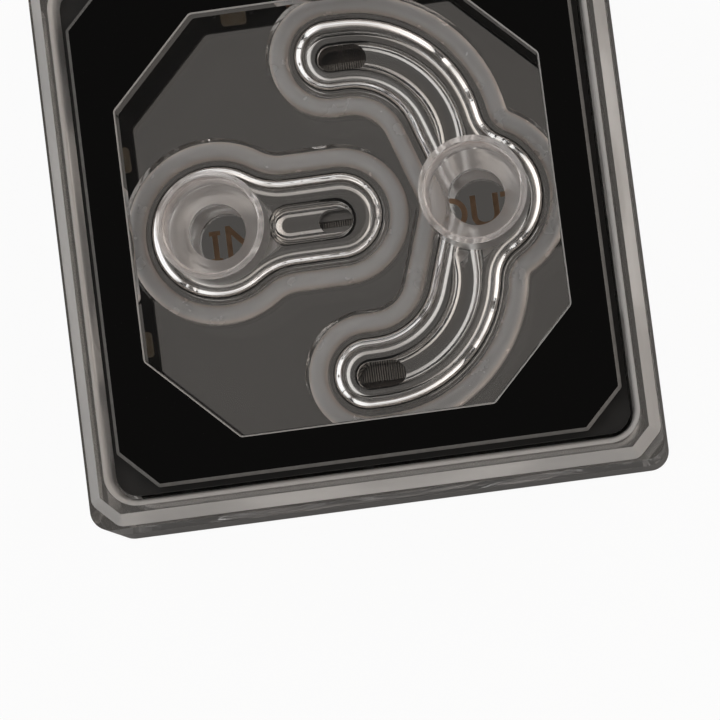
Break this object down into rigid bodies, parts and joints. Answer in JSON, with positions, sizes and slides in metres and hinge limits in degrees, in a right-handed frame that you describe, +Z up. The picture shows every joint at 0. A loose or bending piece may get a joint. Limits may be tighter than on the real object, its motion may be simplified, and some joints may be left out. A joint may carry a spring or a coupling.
{
  "type": "cpu water block",
  "caption": "Square liquid cooling block with a clear milled cover, black octagonal bezel, two threaded ports, plated flow body and finned cold plate.",
  "frame": {"origin": "middle of the cold plate's underside, the face that meets the processor", "axes": "+Z up out of the ports, -X towards the inlet port, +X towards the outlet port, -Y the side nearest the camera"},
  "size_m": [0.072, 0.072, 0.025],
  "materials": {
    "clear_acrylic": "polished clear",
    "black_gloss": "gloss",
    "plated_brass": "mirror plated",
    "clear_silicone": "milky translucent",
    "stainless_steel": "brushed",
    "plated_copper": "plated, satin",
    "black_rubber": "matt",
    "black_board": "matt solder mask",
    "light_package": "moulded",
    "black_plastic": "moulded",
    "screw_steel": "plain"
  },
  "bodies": {
    "root": {"clear_cover": "clear_acrylic", "black_bezel": "black_gloss", "flow_body": "plated_brass", "inlet_seal": "clear_silicone", "outlet_seal": "clear_silicone", "jet_plate": "stainless_steel", "cold_plate": "plated_copper", "cold_plate_seal": "black_rubber", "light_board": "black_board", "light_1": "light_package", "light_2": "light_package", "light_3": "light_package", "light_4": "light_package", "light_5": "light_package", "light_6": "light_package", "light_7": "light_package", "light_8": "light_package", "light_header": "black_plastic", "cold_plate_screw_1": "screw_steel", "cold_plate_screw_2": "screw_steel", "cold_plate_screw_3": "screw_steel", "cold_plate_screw_4": "screw_steel", "cold_plate_screw_5": "screw_steel", "cold_plate_screw_6": "screw_steel", "cold_plate_screw_7": "screw_steel", "cold_plate_screw_8": "screw_steel", "cover_screw_1": "screw_steel", "cover_screw_2": "screw_steel", "cover_screw_3": "screw_steel", "cover_screw_4": "screw_steel"}
  },
  "joints": []
}
